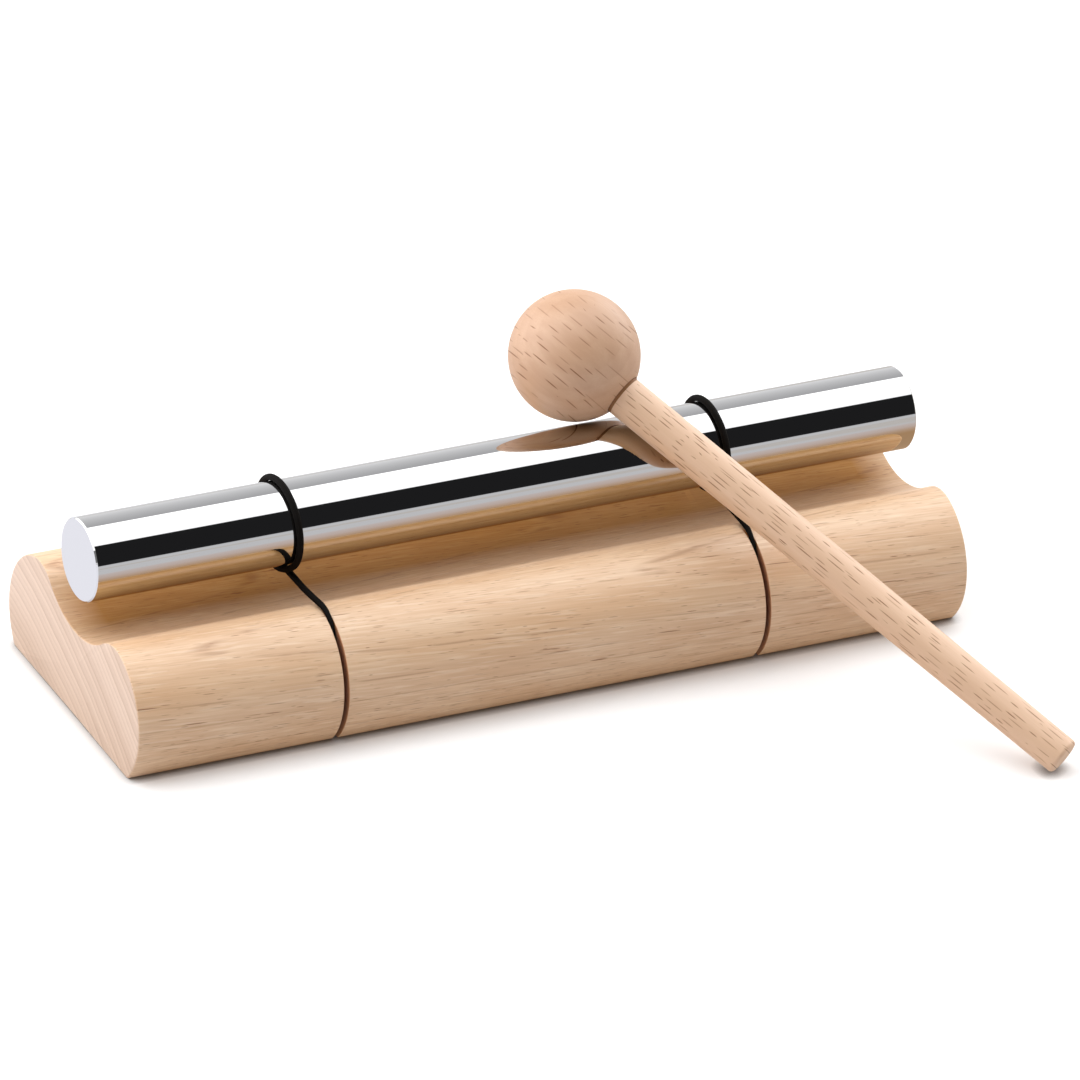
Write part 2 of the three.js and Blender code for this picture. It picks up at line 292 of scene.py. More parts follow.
def build_table():
    """A square of four corners just below the bar, matt white, with a painted reflection for metal.
    Beside the bar a painted contact shadow darkens it by the shadow share where half of the directions
    are covered."""
    corners = [
        (x * table_reach, y * table_reach, -table_drop) for x, y in ((-1, -1), (1, -1), (1, 1), (-1, 1))
    ]
    mesh = bpy.data.meshes.new("table")
    mesh.from_pydata(corners, [], [(0, 1, 2, 3)])
    table = add_object("table", mesh)
    paper, tree = new_material("white paper")
    parts = split(tree, place(tree, "TexCoord").outputs["Object"])
    first, last = table_front_painted_reflections[0][0], table_front_painted_reflections[-1][0]
    stops = [((y - first) / (last - first), tone) for y, tone in table_front_painted_reflections]
    tone = colour_stops(tree, graded(tree, parts["Y"], first, last), stops)
    tone = mixed(tree, graded(tree, parts["X"], *table_left_fade), tone, table_left_painted_reflection)
    tone = mixed(tree, graded(tree, parts["X"], *table_right_fade), tone, table_right_painted_reflection)
    # Painted reflection, shown only to glossy rays.
    painted_reflection = place(tree, "Emission", {"Color": tone, "Strength": table_painted_reflection_strength}).outputs[0]
    # Painted contact shadow: the paper's colour darkens where the base covers its directions.
    open_share = place(
        tree, "AmbientOcclusion", {"Distance": table_painted_shadow_reach},
        samples=table_painted_shadow_samples,
    ).outputs["AO"]
    covered = work_out(tree, "SUBTRACT", 1.0, open_share)
    painted_contact_shadow = times(tree, covered, 2 * table_painted_shadow_share)
    rays = place(tree, "LightPath").outputs
    white = mixed(tree, painted_contact_shadow, table_colour, (0.0, 0.0, 0.0))
    white = mixed(tree, rays["Is Diffuse Ray"], white, table_bounce)
    matt = place(tree, "BsdfDiffuse", {"Color": white}).outputs[0]
    shown = place(tree, "MixShader", {0: rays["Is Glossy Ray"], 1: matt, 2: painted_reflection}).outputs[0]
    place(tree, "OutputMaterial", {"Surface": shown})
    mesh.materials.append(paper)


build_table()


# Base: one block of oak, planed flat below, with rounded long sides and a wide groove between two
# ridges. Two narrow kerfs are sawn round it, which hold the elastic loops.

base_length = 173 * mm
base_width = 57.6 * mm
edge_radius = 14 * mm
edge_height = 9.35 * mm
groove_radius = 18.5 * mm
groove_floor = 17.1 * mm
crest_radius = 8 * mm
end_round = 0.4 * mm
kerf_width = 1.1 * mm
kerf_from_middle = 44 * mm
kerf_crest_depth = 0.1 * mm
kerf_drop_inset = 0.45 * mm
kerf_side_depth = 2.8 * mm
kerf_underside_depth = 2.8 * mm
kerf_floor_radius = 5 * mm
kerf_lip = 0.06 * mm
sanding_loss = 0.02 * mm
block_heart_height = 9 * mm
block_heart = np.array([0.0, block_heart_height])
outline_points = 420
arc_points = 240
flat_points = 200
end_round_points = 5
sharp_angle = math.radians(28)

side_centre = np.array([base_width / 2 - edge_radius, edge_height])
groove_centre = np.array([0.0, groove_floor + groove_radius])


def outer_meeting(first, first_distance, second, second_distance):
    """The outer of the two points at these distances from two centres, where two circles cross."""
    apart = second - first
    span = np.hypot(*apart)
    along = (first_distance**2 - second_distance**2 + span**2) / (2 * span)
    off = math.sqrt(first_distance**2 - along**2)
    step = apart / span
    return first + along * step + off * np.array([step[1], -step[0]])


crest_centre = outer_meeting(
    side_centre, edge_radius - crest_radius, groove_centre, groove_radius + crest_radius
)
ridge_height = crest_centre[1] + crest_radius


def arc(centre, radius, start, end):
    """Points round a centre from one angle to another, at radius times their cosine and sine."""
    angle = np.linspace(start, end, arc_points)
    return centre + radius * np.stack([np.cos(angle), np.sin(angle)], 1)


def flat_run(start, end, height, to_end=False):
    """Points at even steps from start to end across, all at one height."""
    across = np.linspace(start, end, flat_points, endpoint=to_end)
    return np.stack([across, np.full(flat_points, height)], 1)


def angle_from(centre, point):
    """The direction of a point from a centre."""
    return math.atan2(point[1] - centre[1], point[0] - centre[0])


def mirrored_outline(right_half):
    """A right half from the bottom to the top, with its mirror image after it."""
    left_half = right_half[::-1] * np.array([-1, 1])
    return np.concatenate([right_half, left_half])


def block_outline():
    """The base's section: flat below, a rounded side, a ridge, half the groove, and all mirrored."""
    foot_half = side_centre[0] + math.sqrt(edge_radius**2 - edge_height**2)
    foot = angle_from(side_centre, (foot_half, 0))
    shoulder = angle_from(side_centre, crest_centre)
    brink = angle_from(crest_centre, groove_centre)
    bank = angle_from(groove_centre, crest_centre)
    return mirrored_outline(np.concatenate([
        flat_run(0, foot_half, 0),
        arc(side_centre, edge_radius, foot, shoulder),
        arc(crest_centre, crest_radius, shoulder, brink),
        arc(groove_centre, groove_radius, bank, -math.pi / 2),
    ]))


kerf_top = ridge_height - kerf_crest_depth
kerf_shoulder = np.array([crest_centre[0] - kerf_drop_inset, kerf_top - kerf_floor_radius])
kerf_heel = np.array([
    base_width / 2 - kerf_side_depth - kerf_floor_radius,
    kerf_underside_depth + kerf_floor_radius,
])
kerf_bank = angle_from(kerf_heel, kerf_shoulder) - math.pi / 2


def kerf_floor_outline():
    """What the loop lies on: flat below and above, with a round at each heel and each shoulder and
    a straight side that touches both rounds."""
    return mirrored_outline(np.concatenate([
        flat_run(0, kerf_heel[0], kerf_underside_depth),
        arc(kerf_heel, kerf_floor_radius, -math.pi / 2, kerf_bank),
        arc(kerf_shoulder, kerf_floor_radius, kerf_bank, math.pi / 2),
        flat_run(kerf_shoulder[0], 0, kerf_top, to_end=True),
    ]))


def reach_by_angle(outline, angles):
    """How far the outline lies from the block's heart in each of these directions."""
    spoke = outline - block_heart
    order = np.unwrap(np.arctan2(spoke[:, 1], spoke[:, 0]))
    return np.interp(angles, order, np.hypot(spoke[:, 0], spoke[:, 1]), period=2 * math.pi)


def even_angles(outline, count):
    """Directions from the block's heart to points at even steps along the outline."""
    ring = np.concatenate([outline, outline[:1]])
    gone = np.concatenate([[0], np.cumsum(np.hypot(*np.diff(ring, axis=0).T))])
    place_on = np.linspace(0, gone[-1], count, endpoint=False)
    y = np.interp(place_on, gone, ring[:, 0])
    z = np.interp(place_on, gone, ring[:, 1])
    return np.arctan2(z - block_heart[1], y - block_heart[0])


def skin(name, rings, first_point, last_point):
    """A closed piece over rings of points (ring, point, xyz): quads between rings next to each
    other, and a fan from one point over each end."""
    ring_count, around = rings.shape[:2]
    points = np.concatenate([rings.reshape(-1, 3), [first_point, last_point]])
    here = np.arange(around)
    beside = (here + 1) % around
    start = np.arange(ring_count - 1)[:, None] * around
    above = start + around
    quads = np.stack([start + here, start + beside, above + beside, above + here], 2)
    top = (ring_count - 1) * around
    first_fan = np.stack([np.full(around, ring_count * around), beside, here], 1)
    last_fan = np.stack([np.full(around, ring_count * around + 1), top + here, top + beside], 1)
    faces = quads.reshape(-1, 4).tolist() + first_fan.tolist() + last_fan.tolist()
    mesh = bpy.data.meshes.new(name)
    mesh.from_pydata(points.tolist(), [], faces)
    mesh.shade_smooth()
    mesh.set_sharp_from_angle(angle=sharp_angle)
    return add_object(name, mesh)


def build_block():
    """Rings along X, each at a reach from the block's heart for every angle: the full outline, the
    outline drawn in by a small round at the ends, and the kerf's floor, wherever that lies deeper, in
    the two kerfs. A fine lip breaks each kerf's edge."""
    outline = block_outline()
    angles = even_angles(outline, outline_points)
    full = reach_by_angle(outline, angles) - sanding_loss
    sunk = np.minimum(full, reach_by_angle(kerf_floor_outline(), angles))
    lipped = np.maximum(full - kerf_lip, sunk)
    half = base_length / 2
    turn = np.linspace(0, math.pi / 2, end_round_points)
    drawn_in = [(end_round * (1 - math.cos(t)), full - end_round * (1 - math.sin(t))) for t in turn]
    stations = [(-half + inset, reach) for inset, reach in drawn_in]
    for middle in (-kerf_from_middle, kerf_from_middle):
        near = middle - kerf_width / 2
        far = middle + kerf_width / 2
        stations += [
            (near - kerf_lip, full),
            (near, lipped),
            (near, sunk),
            (far, sunk),
            (far, lipped),
            (far + kerf_lip, full),
        ]
    stations += [(half - inset, reach) for inset, reach in drawn_in[::-1]]
    rings = np.empty((len(stations), outline_points, 3))
    for row, (x, reach) in zip(rings, stations):
        row[:, 0] = x
        row[:, 1] = block_heart[0] + reach * np.cos(angles)
        row[:, 2] = block_heart[1] + reach * np.sin(angles)
    return skin("oak_base", rings, (-half, 0, block_heart_height), (half, 0, block_heart_height))


# Oak: growth rings that lie slanting in the block, with rows of fine dark pores along the grain, and
# a broken dark line where each ring starts. Painted shade makes the groove under the rod browner and
# the kerfs' walls dark brown, darker deeper in, and a painted reflection shade makes all of it darker
# and warmer where the polished rod mirrors it. Streaks are given as (length, width, level, softness),
# pores as (cell, length, width, depth), and a fade as the axis, its start and end, and what is left of
# the groove's painted shade before the start.

ring_wave_stretch = (9, 60, 60)
ring_wave_detail = 3.0
ring_fade_power = 2.2
ring_onset_share = 0.12
ring_edge_share = 0.06
ring_edge_soft_shares = (0.05, 0.01)
streak_detail = 2.0
spindle_scatter = 0.85
spindle_length_shares = (0.4, 1.2)
spindle_strength_shares = (0.4, 1.0)
spindle_soft_shares = (1.0, 0.3)
streak_sockets = ("Length", "Width", "Level", "Softness")

oak_pith = (0, 56 * mm, -127 * mm)
oak_slope = (0, math.radians(3.5), math.radians(-2.5))
oak_ring_spacing = 2.8 * mm
oak_waviness = 1.1 * mm
oak_end_ring_spacing = 1.4 * mm
oak_end_waviness = 0.77 * mm
oak_streaks = {
    "broken": (14 * mm, 0.9 * mm, 0.44, 0.12),
    "fibres": (20 * mm, 0.32 * mm, 0.35, 0.30),
    "pale": (11 * mm, 0.5 * mm, 0.54, 0.14),
    "clouds": (30 * mm, 6 * mm, 0.36, 0.28),
    "patches": (16 * mm, 2.4 * mm, 0.38, 0.26),
}
oak_long_pores = ((11 * mm, 0.85 * mm, 0.85 * mm), 4.4 * mm, 0.13 * mm, 0.13 * mm)
oak_short_pores = ((4.0 * mm, 0.45 * mm, 0.45 * mm), 1.3 * mm, 0.085 * mm, 0.085 * mm)
oak_light = (0.79, 0.565, 0.375)
oak_warm = (0.71, 0.455, 0.27)
oak_dark = (0.55, 0.32, 0.17)
oak_end_light = (0.64, 0.475, 0.365)
oak_end_dark = (0.45, 0.30, 0.21)
oak_pale = (0.92, 0.74, 0.56)
oak_pore = (0.28, 0.115, 0.06)
oak_tone_shares = {"clouds": 0.55, "Ring tone": 0.25, "patches": 0.25}
oak_layers = [("Early wood", 0.28, oak_dark), ("fibres", 0.36, oak_dark), ("pale", 0.3, oak_pale)]
oak_end_shares = {"Early wood": 0.6, "Ring tone": 0.45}
oak_end_facing = (0.6, 0.95)
oak_row_shares = (0.5, 1.3)
oak_line_share = 0.42
oak_pit_shares = (0.85, 0.25)
# Painted shade: the groove's colour under the rod is multiplied by this.
oak_groove_painted_shade = (0.56, 0.39, 0.165)
# Painted reflection shade: the oak's colour as the polished rod shows it, darker and warmer.
oak_painted_reflection_shade = (0.82, 0.66, 0.38)
oak_groove_shade_fades = [
    ("Z", (10 * mm, 12 * mm), 0.0),
    ("Y", (-9.6 * mm, -8.6 * mm), 0.0),
    ("Y", (-8.6 * mm, 1.5 * mm), 0.1),
    ("Y", (14 * mm, 9 * mm), 0.0),
    ("X", (88 * mm, 79 * mm), 0.35),
]
# Painted shade on the kerfs' walls: dark brown near the side's round, darker deeper in.
oak_kerf_shade_edge = (0.66, 0.25, 0.07)
oak_kerf_shade_deep = (0.26, 0.075, 0.018)
oak_kerf_shade_fade = 1.2 * mm
oak_kerf_shade_past_centre = (1.0 * mm, 3.0 * mm)
oak_sheens = (0.8, 0.1)
oak_roughness = (0.36, 0.46)
oak_reliefs = {"fibres": -0.12, "pits": -1.0}
oak_bump_strength = 0.3
oak_bump_depth = 0.12 * mm


def reckon(tree, operation, *vectors):
    """The result of one Vector Math node on vectors or sockets."""
    node = place(tree, "VectorMath", dict(enumerate(vectors)), operation=operation)
    return node.outputs["Value" if operation == "LENGTH" else "Vector"]


def off_x_axis(tree, vector):
    """How far a place lies from the X axis."""
    return reckon(tree, "LENGTH", reckon(tree, "MULTIPLY", vector, (0, 1, 1)))


def noise_at(tree, vector, scale, detail):
    """Smooth noise from 0 to 1, with about this many blots a unit."""
    return place(tree, "TexNoise", {
        "Vector": vector, "Scale": scale, "Detail": detail,
    }).outputs["Fac"]


def weighed(tree, values, weights):
    """The sum of the named values, each times its weight."""
    total = 0.0
    for name, weight in weights.items():
        total = work_out(tree, "MULTIPLY_ADD", values[name], weight, total)
    return total


def make_group(name, inputs, build):
    """A node group with these inputs, whose outputs are the named values that build makes of them."""
    group = bpy.data.node_groups.new(name, "ShaderNodeTree")
    for socket, kind in inputs.items():
        group.interface.new_socket(name=socket, in_out="INPUT", socket_type=f"NodeSocket{kind}")
    made = build(group, group.nodes.new("NodeGroupInput").outputs)
    result = group.nodes.new("NodeGroupOutput")
    for socket, value in made.items():
        group.interface.new_socket(name=socket, in_out="OUTPUT", socket_type="NodeSocketFloat")
        group.links.new(value, result.inputs[socket])
    return group


def build_rings(group, given):
    """Rings round the X axis: the distance from it, made wavy by noise, over the ring spacing. Its
    fraction gives the early wood, dark at the ring's start and fading outwards, and a fine edge."""
    stretched = reckon(group, "MULTIPLY", given["Place"], ring_wave_stretch)
    noise = noise_at(group, stretched, 1.0, ring_wave_detail)
    wave = graded(group, noise, 0.0, 1.0, -1.0, 1.0)
    radius = off_x_axis(group, given["Place"])
    wavy = work_out(group, "MULTIPLY_ADD", wave, given["Waviness"], radius)
    counted = work_out(group, "DIVIDE", wavy, given["Spacing"])
    fraction = work_out(group, "FRACT", counted)
    fade = work_out(group, "POWER", work_out(group, "SUBTRACT", 1.0, fraction), ring_fade_power)
    off_edge = work_out(group, "ABSOLUTE", work_out(group, "SUBTRACT", fraction, ring_edge_share))
    random = place(
        group, "TexWhiteNoise", {"W": work_out(group, "FLOOR", counted)}, noise_dimensions="1D",
    )
    return {
        "Early wood": times(group, fade, graded(group, fraction, 0.0, ring_onset_share)),
        "Edge": graded(group, off_edge, *ring_edge_soft_shares),
        "Ring tone": random.outputs["Value"],
    }


def build_streaks(group, given):
    """Soft lines along X: noise stretched by the streak's length and width, cut off at a level."""
    per_length = work_out(group, "DIVIDE", 1.0, given["Length"])
    per_width = work_out(group, "DIVIDE", 1.0, given["Width"])
    scale = place(group, "CombineXYZ", {"X": per_length, "Y": per_width, "Z": per_width})
    stretched = reckon(group, "MULTIPLY", given["Place"], scale.outputs[0])
    noise = noise_at(group, stretched, 1.0, streak_detail)
    upper = work_out(group, "ADD", given["Level"], given["Softness"])
    return {"Mask": graded(group, noise, given["Level"], upper)}


def build_spindles(group, given):
    """Fine dashes along X: each cell of a stretched Voronoi pattern holds one, a spindle round the
    cell's own point with its own length and strength. A great depth makes sheets, as rays are."""
    scaled = reckon(group, "DIVIDE", given["Place"], given["Cell"])
    cells = place(group, "TexVoronoi", {
        "Vector": scaled, "Scale": 1.0, "Randomness": spindle_scatter,
    }).outputs
    off = reckon(group, "MULTIPLY", reckon(group, "SUBTRACT", scaled, cells["Position"]), given["Cell"])
    parts = split(group, off)
    spread = place(group, "SeparateColor", {"Color": cells["Color"]}).outputs
    own_length = graded(group, spread[0], 0.0, 1.0, *spindle_length_shares)
    length = times(group, given["Length"], own_length)
    shares = {
        axis: work_out(group, "DIVIDE", parts[axis], size)
        for axis, size in (("X", length), ("Y", given["Width"]), ("Z", given["Depth"]))
    }
    inside = graded(group, weighed(group, shares, shares), *spindle_soft_shares)
    strength = graded(group, spread[1], 0.0, 1.0, *spindle_strength_shares)
    return {"Mask": times(group, inside, strength)}


growth_rings = make_group(
    "growth rings", {"Place": "Vector", "Spacing": "Float", "Waviness": "Float"}, build_rings
)
streaks = make_group(
    "streaks", {"Place": "Vector", **dict.fromkeys(streak_sockets, "Float")}, build_streaks
)
spindles = make_group(
    "spindles",
    {"Place": "Vector", "Cell": "Vector", "Length": "Float", "Width": "Float", "Depth": "Float"},
    build_spindles,
)


def grouped(tree, group, where, **values):
    """A group's outputs by name, read at this place, with its other inputs set by name."""
    return dict(place(tree, "Group", {"Place": where, **values}, node_tree=group).outputs.items())


def streak_masks(tree, where, kinds):
    """A mask of streaks for each kind, by its name."""
    return {
        kind: grouped(tree, streaks, where, **dict(zip(streak_sockets, sizes)))["Mask"]
        for kind, sizes in kinds.items()
    }


def spindle_mask(tree, where, cell, length, width, depth):
    """A mask of spindles, one in each cell."""
    return grouped(tree, spindles, where, Cell=cell, Length=length, Width=width, Depth=depth)["Mask"]


def seen_from(tree, vector, rotation, origin=(0, 0, 0)):
    """A vector in axes with this rotation and origin."""
    return place(tree, "Mapping", {
        "Vector": vector, "Location": origin, "Rotation": rotation,
    }, vector_type="TEXTURE").outputs[0]


def with_painted_reflection_shade(tree, colour, tint):
    """The colour, multiplied by the tint where a polished surface shows it: a painted reflection shade.
    """
    mirrored = place(tree, "LightPath").outputs["Is Glossy Ray"]
    return mixed(tree, mirrored, colour, tint, "MULTIPLY")


def finish_material(tree, relief, strength, depth, inputs):
    """A Principled surface with these inputs and a bump from the relief."""
    bump = place(tree, "Bump", {"Height": relief, "Strength": strength, "Distance": depth})
    surface = place(tree, "BsdfPrincipled", {**inputs, "Normal": bump.outputs[0]})
    place(tree, "OutputMaterial", {"Surface": surface.outputs[0]})


def oak_groove_shade_mask(tree, spot, from_middle, end_grain):
    """The product of all fades, so the painted shade covers the groove and ends at its ridges and ends.
    """
    inside = work_out(tree, "SUBTRACT", 1.0, end_grain)
    for axis, (start, end), least in oak_groove_shade_fades:
        value = from_middle if axis == "X" else spot[axis]
        inside = times(tree, inside, graded(tree, value, start, end, least))
    return inside


def oak_kerf_shade_masks(tree, spot, from_middle):
    """Masks for the painted shade on the kerfs' walls: where a kerf is cut into the base's side, and
    how deep a place lies below the side's round.
    """
    off_kerf = work_out(tree, "ABSOLUTE", work_out(tree, "SUBTRACT", from_middle, kerf_from_middle))
    kerf_wall_shade = graded(tree, off_kerf, kerf_width / 2 + kerf_lip, kerf_width / 2 - kerf_lip / 2)
    off = {
        "out": work_out(tree, "SUBTRACT", work_out(tree, "ABSOLUTE", spot["Y"]), float(side_centre[0])),
        "up": work_out(tree, "SUBTRACT", spot["Z"], float(side_centre[1])),
    }
    from_centre = work_out(tree, "SQRT", weighed(tree, off, off))
    deeper_shade = graded(tree, from_centre, edge_radius, edge_radius - oak_kerf_shade_fade)
    outward = graded(tree, off["out"], *oak_kerf_shade_past_centre)
    return times(tree, kerf_wall_shade, outward), deeper_shade


def oak_material():
    """Wood by layers: the rings' tones, streaks, end grain on faces square to X, pits, the groove's
    painted shade, the painted shade on the kerfs' walls and a painted reflection shade for the rod. The
    pits, the groove and the kerfs' walls have little sheen."""
    oak, tree = new_material("oak")
    coordinates = place(tree, "TexCoord").outputs
    trunk = seen_from(tree, coordinates["Object"], oak_slope, oak_pith)
    rings = grouped(tree, growth_rings, trunk, Spacing=oak_ring_spacing, Waviness=oak_waviness)
    masks = {**rings, **streak_masks(tree, trunk, oak_streaks)}
    wood = mixed(tree, weighed(tree, masks, oak_tone_shares), oak_light, oak_warm)
    for kind, share, colour in oak_layers:
        wood = mixed(tree, times(tree, masks[kind], share), wood, colour)

    facing = split(tree, coordinates["Normal"])["X"]
    end_grain = graded(tree, work_out(tree, "ABSOLUTE", facing), *oak_end_facing)
    fine_rings = grouped(
        tree, growth_rings, trunk, Spacing=oak_end_ring_spacing, Waviness=oak_end_waviness,
    )
    end_tone = weighed(tree, fine_rings, oak_end_shares)
    wood = mixed(tree, end_grain, wood, mixed(tree, end_tone, oak_end_light, oak_end_dark))

    pores = work_out(
        tree, "MAXIMUM",
        spindle_mask(tree, trunk, *oak_long_pores), spindle_mask(tree, trunk, *oak_short_pores),
    )
    in_rows = graded(tree, masks["Early wood"], 0.0, 1.0, *oak_row_shares)
    line = times(tree, times(tree, masks["Edge"], masks["broken"]), oak_line_share)
    pits = work_out(tree, "MAXIMUM", times(tree, pores, in_rows), line)
    pits = times(tree, pits, graded(tree, end_grain, 0.0, 1.0, *oak_pit_shares))
    colour = mixed(tree, pits, wood, oak_pore)

    spot = split(tree, coordinates["Object"])
    from_middle = work_out(tree, "ABSOLUTE", spot["X"])
    in_groove_shade = oak_groove_shade_mask(tree, spot, from_middle, end_grain)
    # Painted shade in the groove under the rod.
    colour = mixed(tree, in_groove_shade, colour, oak_groove_painted_shade, "MULTIPLY")
    # Painted shade on the kerfs' walls, darker with depth.
    kerf_wall_shade, deeper_shade = oak_kerf_shade_masks(tree, spot, from_middle)
    colour = mixed(tree, kerf_wall_shade, colour, mixed(tree, deeper_shade, oak_kerf_shade_edge, oak_kerf_shade_deep))
    # Painted reflection shade where the rod mirrors the oak.
    colour = with_painted_reflection_shade(tree, colour, oak_painted_reflection_shade)

    dull = work_out(tree, "MAXIMUM", work_out(tree, "MAXIMUM", in_groove_shade, kerf_wall_shade), pits)
    relief = weighed(tree, {"pits": pits, **masks}, oak_reliefs)
    finish_material(tree, relief, oak_bump_strength, oak_bump_depth, {
        "Base Color": colour,
        "Roughness": graded(tree, masks["fibres"], 0.0, 1.0, *oak_roughness),
        "Specular IOR Level": graded(tree, dull, 0.0, 1.0, *oak_sheens),
    })
    return oak


oak_base = build_block()
oak_base.data.materials.append(oak_material())
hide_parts("base_block")
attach(oak_base, "base")


# Rod: a solid aluminium bar, cut to length for its note, its ends faced and slightly chamfered, and
# the whole of it polished like a mirror. It lies in the turns of the two elastic loops, whose
# strands cross the groove at the ridges' height.

rod_diameter = 16 * mm
rod_length = 171 * mm
rod_chamfer = 0.25 * mm
rod_off_middle = -1.2 * mm
ring_diameter = 1.3 * mm
ridge_diameter = 1.2 * mm
seat_gap = 0.2 * mm
ring_hug = 0.17 * mm
rod_sides = 256
rod_rings = 30
metal_colour = (0.64, 0.64, 0.645)
metal_smear_scale = 60.0
metal_smear_detail = 4.0
metal_smear_levels = (0.35, 0.75)
metal_roughness = (0.018, 0.05)
metal_hairline_stretch = (9000, 300, 300)
metal_hairline_detail = 2.0
metal_hairline_strength = 0.02
metal_hairline_depth = 0.01 * mm

ring_radius = ring_diameter / 2
ridge_radius = ridge_diameter / 2
strand_height = kerf_top + ridge_radius + seat_gap
turn_radius = rod_diameter / 2 + seat_gap + ring_radius
rod_height = strand_height + turn_radius


def turned(name, axis_point, axis, profile, sides, first_reach, last_reach):
    """A surface of revolution about an axis that isn't upright: each (distance along it, radius) of
    the profile becomes a ring, and one point on the axis closes each end."""
    axis = np.array(axis, float)
    axis = axis / np.linalg.norm(axis)
    sideways = np.cross([0.0, 0.0, 1.0], axis)
    sideways = sideways / np.linalg.norm(sideways)
    other = np.cross(axis, sideways)
    angle = np.linspace(0, 2 * math.pi, sides, endpoint=False)[:, None]
    round_it = np.cos(angle) * sideways + np.sin(angle) * other
    profile = np.array(profile, float)
    origin = np.array(axis_point, float)
    rings = origin + profile[:, 0, None, None] * axis + profile[:, 1, None, None] * round_it
    return skin(name, rings, origin + first_reach * axis, origin + last_reach * axis)


def rod_profile():
    """Half the rod's outline: a face, a chamfer, the long side, a chamfer and a face."""
    half = rod_length / 2
    radius = rod_diameter / 2
    along = np.linspace(-half + rod_chamfer, half - rod_chamfer, rod_rings)
    long_side = [(x, radius) for x in along]
    return [(-half, radius - rod_chamfer), *long_side, (half, radius - rod_chamfer)]


def metal_material():
    """A mirror with faint smears in its roughness and hairlines that run round it."""
    metal, tree = new_material("polished metal")
    where = place(tree, "TexCoord").outputs["Object"]
    stretched = reckon(tree, "MULTIPLY", where, metal_hairline_stretch)
    hairlines = noise_at(tree, stretched, 1.0, metal_hairline_detail)
    smears = noise_at(tree, where, metal_smear_scale, metal_smear_detail)
    finish_material(tree, hairlines, metal_hairline_strength, metal_hairline_depth, {
        "Base Color": (*metal_colour, 1),
        "Metallic": 1.0,
        "Roughness": graded(tree, smears, *metal_smear_levels, *metal_roughness),
    })
    return metal


chime_rod = turned(
    "polished_rod", (rod_off_middle, 0, rod_height), (1, 0, 0), rod_profile(), rod_sides,
    -rod_length / 2, rod_length / 2,
)
chime_rod.data.materials.append(metal_material())
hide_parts("chime_rod")
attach(chime_rod, "rod")


# Elastic loops: black rubber cord, closed to a loop. Each passes once round the rod and once round
# the base in its kerf, and is thinner where it is stretched over the ridges and in the kerf. The right
# one's turn has slipped a little to the right of its kerf.

turn_gap = 0.1 * mm
strands_off = -1.5 * mm
ring_off = -1.35 * mm
top_lean = -0.85 * mm
front_lean = 0.2 * mm
swerve_share = 1 / 6
right_slip = 1.2 * mm
drift_start = 9 * mm
drift_end = 21 * mm
kerf_clearance = 0.15 * mm
cord_sides = 24
turn_steps = 160
strand_steps = 24
corner_steps = 20
seam_shares = (0.1, 0.9)
elastic_colour = (0.003, 0.0025, 0.0022)
elastic_worn = (0.009, 0.0065, 0.005)
elastic_roughness = (0.6, 0.8)
elastic_sheen = 0.08
braid_strands = 6
braid_per_mm = 9.0
braid_strength = 0.5
braid_depth = 0.05 * mm
dust_scale = 900.0
dust_detail = 3.0

kerf_radius = kerf_width / 2 - kerf_clearance
pitch = ring_diameter + turn_gap
first_x = strands_off - pitch / 2
last_x = strands_off + pitch / 2


def eased(share):
    """A share that starts and ends gently: three times its square less twice its cube."""
    share = np.clip(share, 0, 1)
    return share * share * (3 - 2 * share)


def ring_path(slip):
    """One turn round the rod, from below it towards the front, slipped this far along it. It leans
    along the rod at its top and in front, hugs the rod but for its two ends, and swerves there, so
    that the strands pass side by side."""
    share = np.linspace(0, 1, turn_steps)
    angle = 2 * math.pi * share
    lean = top_lean * (1 - np.cos(angle)) / 2 + front_lean * np.sin(angle)
    left_below = 1 - eased(share / swerve_share)
    back_below = eased((share - 1 + swerve_share) / swerve_share)
    x = ring_off + lean + (first_x - ring_off) * left_below + (last_x - ring_off) * back_below
    reach = turn_radius - ring_hug * (1 - left_below - back_below)
    y = -reach * np.sin(angle)
    z = rod_height - reach * np.cos(angle)
    return np.stack([x + slip, y, z, np.full(turn_steps, ring_radius)], 1)


def drift(from_x, y):
    """How far a strand is still beside its kerf: all of from_x up to the start, none past the end."""
    share = (np.abs(y) - drift_start) / (drift_end - drift_start)
    return from_x * (1 - eased(share))


def strand_path(side, from_x):
    """Level from below the rod to a ridge: x drifts towards the kerf, and the cord gets thinner."""
    share = np.linspace(0, 1, strand_steps)
    y = side * kerf_shoulder[0] * share
    z = np.full(strand_steps, strand_height)
    radius = ring_radius + (ridge_radius - ring_radius) * eased(share)
    return np.stack([drift(from_x, y), y, z, radius], 1)


